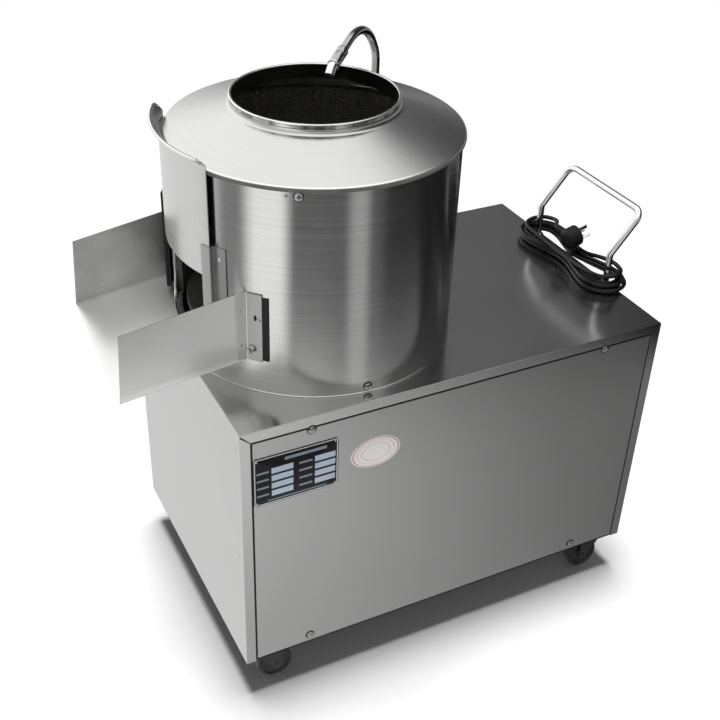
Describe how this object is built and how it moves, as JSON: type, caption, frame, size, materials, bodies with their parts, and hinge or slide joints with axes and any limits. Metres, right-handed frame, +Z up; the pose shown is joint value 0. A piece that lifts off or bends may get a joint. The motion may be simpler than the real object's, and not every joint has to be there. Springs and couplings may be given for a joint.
{
  "type": "potato peeler machine",
  "caption": "Standing peeling machine: abrasive disc in a round steel drum with lid, sliding gate, chute and spray pipe, on a wheeled cabinet.",
  "frame": {"origin": "on the floor, midway between the chute's end and the handle's grip and midway between front and back", "axes": "+Z up, +X along the cabinet from the discharge chute towards the push handle, -Y out of the front panel"},
  "size_m": [0.8332, 0.4269, 0.8592],
  "materials": {
    "brushed_sheet": "brushed stainless steel sheet",
    "polished_steel": "polished stainless steel",
    "machined_steel": "machined steel",
    "galvanised_steel": "galvanised steel",
    "chrome_plate": "chrome plated",
    "cast_housing": "cast",
    "motor_paint": "satin paint",
    "disc_casting": "abrasive grit",
    "abrasive_lining": "abrasive grit",
    "black_rubber": "matte",
    "wheel_rubber": "matte",
    "black_plastic": "satin",
    "red_plastic": "gloss",
    "black_plate": "black anodised"
  },
  "bodies": {
    "machine_body": {"cabinet_shell": "brushed_sheet", "front_panel": "brushed_sheet", "back_panel": "brushed_sheet", "drum_shell": "brushed_sheet", "drum_floor": "brushed_sheet", "lid": "brushed_sheet", "gate_guide_near": "brushed_sheet", "gate_guide_far": "brushed_sheet", "chute": "brushed_sheet", "chute_bracket_near": "brushed_sheet", "chute_bracket_far": "brushed_sheet", "pipe_bracket": "brushed_sheet", "lid_collar": "polished_steel", "spray_pipe": "polished_steel", "pipe_sleeve": "polished_steel", "upper_bearing": "machined_steel", "lower_bearing": "machined_steel", "hose_tail": "machined_steel", "drain_pipe": "machined_steel", "base_frame": "galvanised_steel", "drive_plate": "galvanised_steel", "bearing_beam": "galvanised_steel", "caster_front_left_plate": "galvanised_steel", "caster_front_right_plate": "galvanised_steel", "caster_back_left_plate": "galvanised_steel", "caster_back_right_plate": "galvanised_steel", "push_handle": "chrome_plate", "spray_nozzle": "chrome_plate", "upper_bearing_housing": "cast_housing", "lower_bearing_housing": "cast_housing", "motor_housing": "motor_paint", "motor_fan_cover": "motor_paint", "motor_terminal_box": "motor_paint", "drum_lining": "abrasive_lining", "drive_belt": "black_rubber", "shaft_seal": "black_rubber", "inlet_hose": "black_rubber", "mains_cord": "black_rubber", "cord_plug": "black_rubber", "cord_gland": "black_plastic", "switch_frame": "black_plastic", "nameplate": "black_plate"},
    "gate": {"gate_plate": "brushed_sheet"},
    "disc_rotor": {"main_shaft": "machined_steel", "main_pulley": "cast_housing", "abrasive_disc": "disc_casting", "disc_cap_nut": "polished_steel"},
    "motor_rotor": {"motor_shaft": "machined_steel", "motor_pulley": "cast_housing"},
    "rocker": {"switch_rocker": "red_plastic"},
    "swivel_front_left": {"caster_front_left_fork": "galvanised_steel"},
    "wheel_front_left": {"caster_front_left_wheel": "wheel_rubber"},
    "swivel_front_right": {"caster_front_right_fork": "galvanised_steel"},
    "wheel_front_right": {"caster_front_right_wheel": "wheel_rubber"},
    "swivel_back_left": {"caster_back_left_fork": "galvanised_steel"},
    "wheel_back_left": {"caster_back_left_wheel": "wheel_rubber"},
    "swivel_back_right": {"caster_back_right_fork": "galvanised_steel"},
    "wheel_back_right": {"caster_back_right_wheel": "wheel_rubber"}
  },
  "joints": [
    {"name": "gate_slide", "type": "slide", "parent": "machine_body", "child": "gate", "axis": [0, 0, 1], "range_m": [-0.105, 0.03]},
    {"name": "disc_spin", "type": "hinge", "parent": "machine_body", "child": "disc_rotor", "pos_m": [-0.09356, 0, 0.4773], "axis": [0, 0, 1], "continuous": true},
    {"name": "motor_spin", "type": "hinge", "parent": "machine_body", "child": "motor_rotor", "pos_m": [0.13244, 0, 0.24], "axis": [0, 0, 1], "continuous": true},
    {"name": "switch_rock", "type": "hinge", "parent": "machine_body", "child": "rocker", "pos_m": [0.36924, 0.082, 0.3], "axis": [0, 1, 0], "range_deg": [0, 16]},
    {"name": "swivel_front_left", "type": "hinge", "parent": "machine_body", "child": "swivel_front_left", "pos_m": [-0.25256, -0.186, 0.0596], "axis": [0, 0, 1], "continuous": true},
    {"name": "wheel_spin_front_left", "type": "hinge", "parent": "swivel_front_left", "child": "wheel_front_left", "pos_m": [-0.23856, -0.186, 0.02776], "axis": [0, 1, 0], "continuous": true},
    {"name": "swivel_front_right", "type": "hinge", "parent": "machine_body", "child": "swivel_front_right", "pos_m": [0.32744, -0.186, 0.0596], "axis": [0, 0, 1], "continuous": true},
    {"name": "wheel_spin_front_right", "type": "hinge", "parent": "swivel_front_right", "child": "wheel_front_right", "pos_m": [0.31344, -0.186, 0.02776], "axis": [0, 1, 0], "continuous": true},
    {"name": "swivel_back_left", "type": "hinge", "parent": "machine_body", "child": "swivel_back_left", "pos_m": [-0.25256, 0.186, 0.0596], "axis": [0, 0, 1], "continuous": true},
    {"name": "wheel_spin_back_left", "type": "hinge", "parent": "swivel_back_left", "child": "wheel_back_left", "pos_m": [-0.23856, 0.186, 0.02776], "axis": [0, 1, 0], "continuous": true},
    {"name": "swivel_back_right", "type": "hinge", "parent": "machine_body", "child": "swivel_back_right", "pos_m": [0.32744, 0.186, 0.0596], "axis": [0, 0, 1], "continuous": true},
    {"name": "wheel_spin_back_right", "type": "hinge", "parent": "swivel_back_right", "child": "wheel_back_right", "pos_m": [0.31344, 0.186, 0.02776], "axis": [0, 1, 0], "continuous": true}
  ],
  "couplings": [
    {"joint": "motor_spin", "follows": "disc_spin", "ratio": 3.75}
  ]
}
